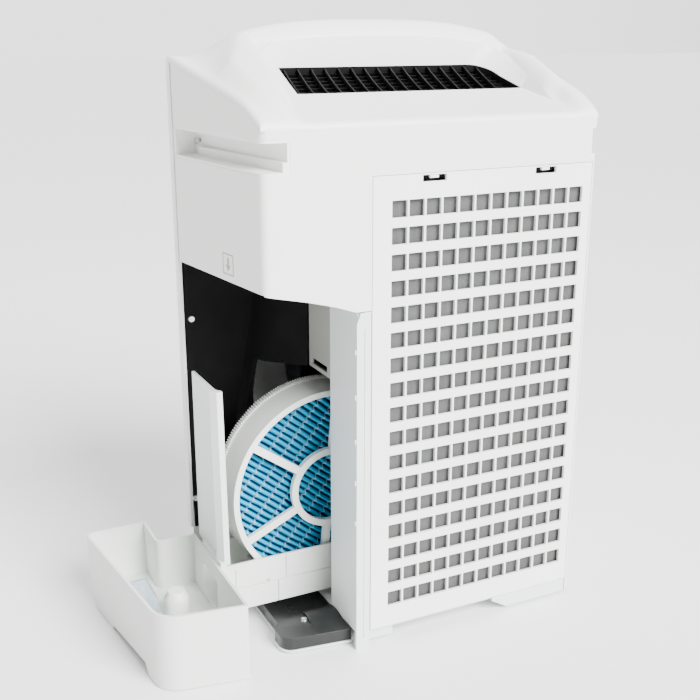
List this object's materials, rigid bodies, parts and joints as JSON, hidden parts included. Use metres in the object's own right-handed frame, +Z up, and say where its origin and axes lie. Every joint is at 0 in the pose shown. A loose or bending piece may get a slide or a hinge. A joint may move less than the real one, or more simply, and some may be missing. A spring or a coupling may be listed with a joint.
{
  "type": "air purifier",
  "caption": "Floor-standing humidifying air purifier with a rear intake grille, a hooded top outlet, hand grips and a slide-out water tray carrying a pleated wheel.",
  "frame": {"origin": "middle of the bounding box on the floor, with the tray drawn out as in the picture", "axes": "+Z up, +X towards the side the tray slides out of, -Y towards the front panel, +Y towards the intake grille"},
  "size_m": [0.5076, 0.234, 0.6161],
  "materials": {
    "cabinet_white": "fine satin moulding",
    "cover_white": "smooth satin moulding",
    "inner_white": "satin moulding",
    "grille_white": "satin moulding",
    "mesh_grey": "woven",
    "liner_black": "matt",
    "platform_grey": "matt",
    "cheek_grey": "matt",
    "tray_white": "satin",
    "guard_white": "satin",
    "wheel_white": "satin",
    "media_blue": "pleated",
    "clear_blue": "translucent",
    "carbon": "granular",
    "filter_paper": "pleated paper",
    "panel_dark": "glossy",
    "display_dark": "glossy",
    "lens": "translucent",
    "key_white": "satin",
    "board_green": "solder mask",
    "steel": "zinc plated",
    "duct_grey": "matt",
    "fan_grey": "matt",
    "foot_rubber": "matt"
  },
  "bodies": {
    "cabinet": {"base_pan": "inner_white", "foot_pads": "foot_rubber", "platform_pan": "inner_white", "tray_platform": "platform_grey", "main_casing": "cabinet_white", "filter_housing": "inner_white", "bay_liner": "liner_black", "inlet_cheek": "cheek_grey", "handle_cup_left": "cover_white", "handle_cup_right": "cover_white", "case_screws": "steel", "top_cover": "cover_white", "outlet_louver": "liner_black", "front_panel": "cabinet_white", "indicator_lens": "lens", "control_plate": "panel_dark", "display_window": "display_dark", "control_board": "board_green", "carbon_filter": "carbon", "hepa_filter": "filter_paper", "fan_bulkhead": "liner_black", "fan_scroll": "fan_grey", "fan_motor": "steel", "air_duct": "duct_grey", "main_board": "board_green", "board_posts": "inner_white", "ion_unit": "fan_grey", "air_sensor": "fan_grey", "sensor_cover": "cabinet_white", "power_inlet": "liner_black", "wheel_drive_motor": "steel", "drive_bracket": "fan_grey"},
    "rear_panel": {"rear_panel": "grille_white", "prefilter_mesh": "mesh_grey"},
    "tab_left": {"panel_tab_left": "grille_white"},
    "tab_right": {"panel_tab_right": "grille_white"},
    "fan": {"fan_shaft": "steel", "fan_wheel": "fan_grey", "fan_nut": "steel"},
    "pinion": {"drive_pinion": "wheel_white"},
    "tray": {"tray": "tray_white", "tray_guard": "guard_white", "roller_pins": "steel", "float_cover": "clear_blue"},
    "roller_left": {"roller_left": "duct_grey"},
    "roller_right": {"roller_right": "duct_grey"},
    "float": {"float": "wheel_white"},
    "wheel": {"wheel_rim": "wheel_white", "wheel_frame": "wheel_white", "wheel_media": "media_blue"},
    "key_1": {"key_1": "key_white"},
    "key_2": {"key_2": "key_white"},
    "key_3": {"key_3": "key_white"},
    "key_4": {"key_4": "key_white"},
    "key_5": {"key_5": "key_white"}
  },
  "joints": [
    {"name": "tray_slide", "type": "slide", "parent": "cabinet", "child": "tray", "axis": [1, 0, 0], "range_m": [-0.104, 0.15]},
    {"name": "wheel_spin", "type": "hinge", "parent": "tray", "child": "wheel", "pos_m": [0.0204, 0.0062, 0.144], "axis": [0, 1, 0], "continuous": true},
    {"name": "roller_left_spin", "type": "hinge", "parent": "tray", "child": "roller_left", "pos_m": [0.09516, 0.0092, 0.05491], "axis": [0, 1, 0], "continuous": true},
    {"name": "roller_right_spin", "type": "hinge", "parent": "tray", "child": "roller_right", "pos_m": [-0.05436, 0.0092, 0.05491], "axis": [0, 1, 0], "continuous": true},
    {"name": "float_rise", "type": "slide", "parent": "tray", "child": "float", "axis": [0, 0, 1], "range_m": [0, 0.012]},
    {"name": "rear_panel_tilt", "type": "hinge", "parent": "cabinet", "child": "rear_panel", "pos_m": [-0.1052, 0.1155, 0.0203], "axis": [-1, 0, 0], "range_deg": [0, 35]},
    {"name": "tab_left_press", "type": "slide", "parent": "rear_panel", "child": "tab_left", "axis": [0, 0, -1], "range_m": [0, 0.0027], "stiffness_N_per_m": 600},
    {"name": "tab_right_press", "type": "slide", "parent": "rear_panel", "child": "tab_right", "axis": [0, 0, -1], "range_m": [0, 0.0027], "stiffness_N_per_m": 600},
    {"name": "fan_spin", "type": "hinge", "parent": "cabinet", "child": "fan", "pos_m": [-0.0886, -0.0678, 0.25], "axis": [0, 1, 0], "continuous": true},
    {"name": "pinion_spin", "type": "hinge", "parent": "cabinet", "child": "pinion", "pos_m": [-0.0836, -0.0128, 0.2669], "axis": [0, 1, 0], "continuous": true},
    {"name": "key_1_press", "type": "slide", "parent": "cabinet", "child": "key_1", "axis": [0, 0.4099, -0.9121], "range_m": [0, 0.001], "stiffness_N_per_m": 500},
    {"name": "key_2_press", "type": "slide", "parent": "cabinet", "child": "key_2", "axis": [0, 0.4099, -0.9121], "range_m": [0, 0.001], "stiffness_N_per_m": 500},
    {"name": "key_3_press", "type": "slide", "parent": "cabinet", "child": "key_3", "axis": [0, 0.4099, -0.9121], "range_m": [0, 0.001], "stiffness_N_per_m": 500},
    {"name": "key_4_press", "type": "slide", "parent": "cabinet", "child": "key_4", "axis": [0, 0.4099, -0.9121], "range_m": [0, 0.001], "stiffness_N_per_m": 500},
    {"name": "key_5_press", "type": "slide", "parent": "cabinet", "child": "key_5", "axis": [0, 0.4099, -0.9121], "range_m": [0, 0.001], "stiffness_N_per_m": 500}
  ],
  "couplings": [
    {"joint": "roller_left_spin", "follows": "wheel_spin", "ratio": -13.5},
    {"joint": "roller_right_spin", "follows": "wheel_spin", "ratio": -13.5}
  ]
}
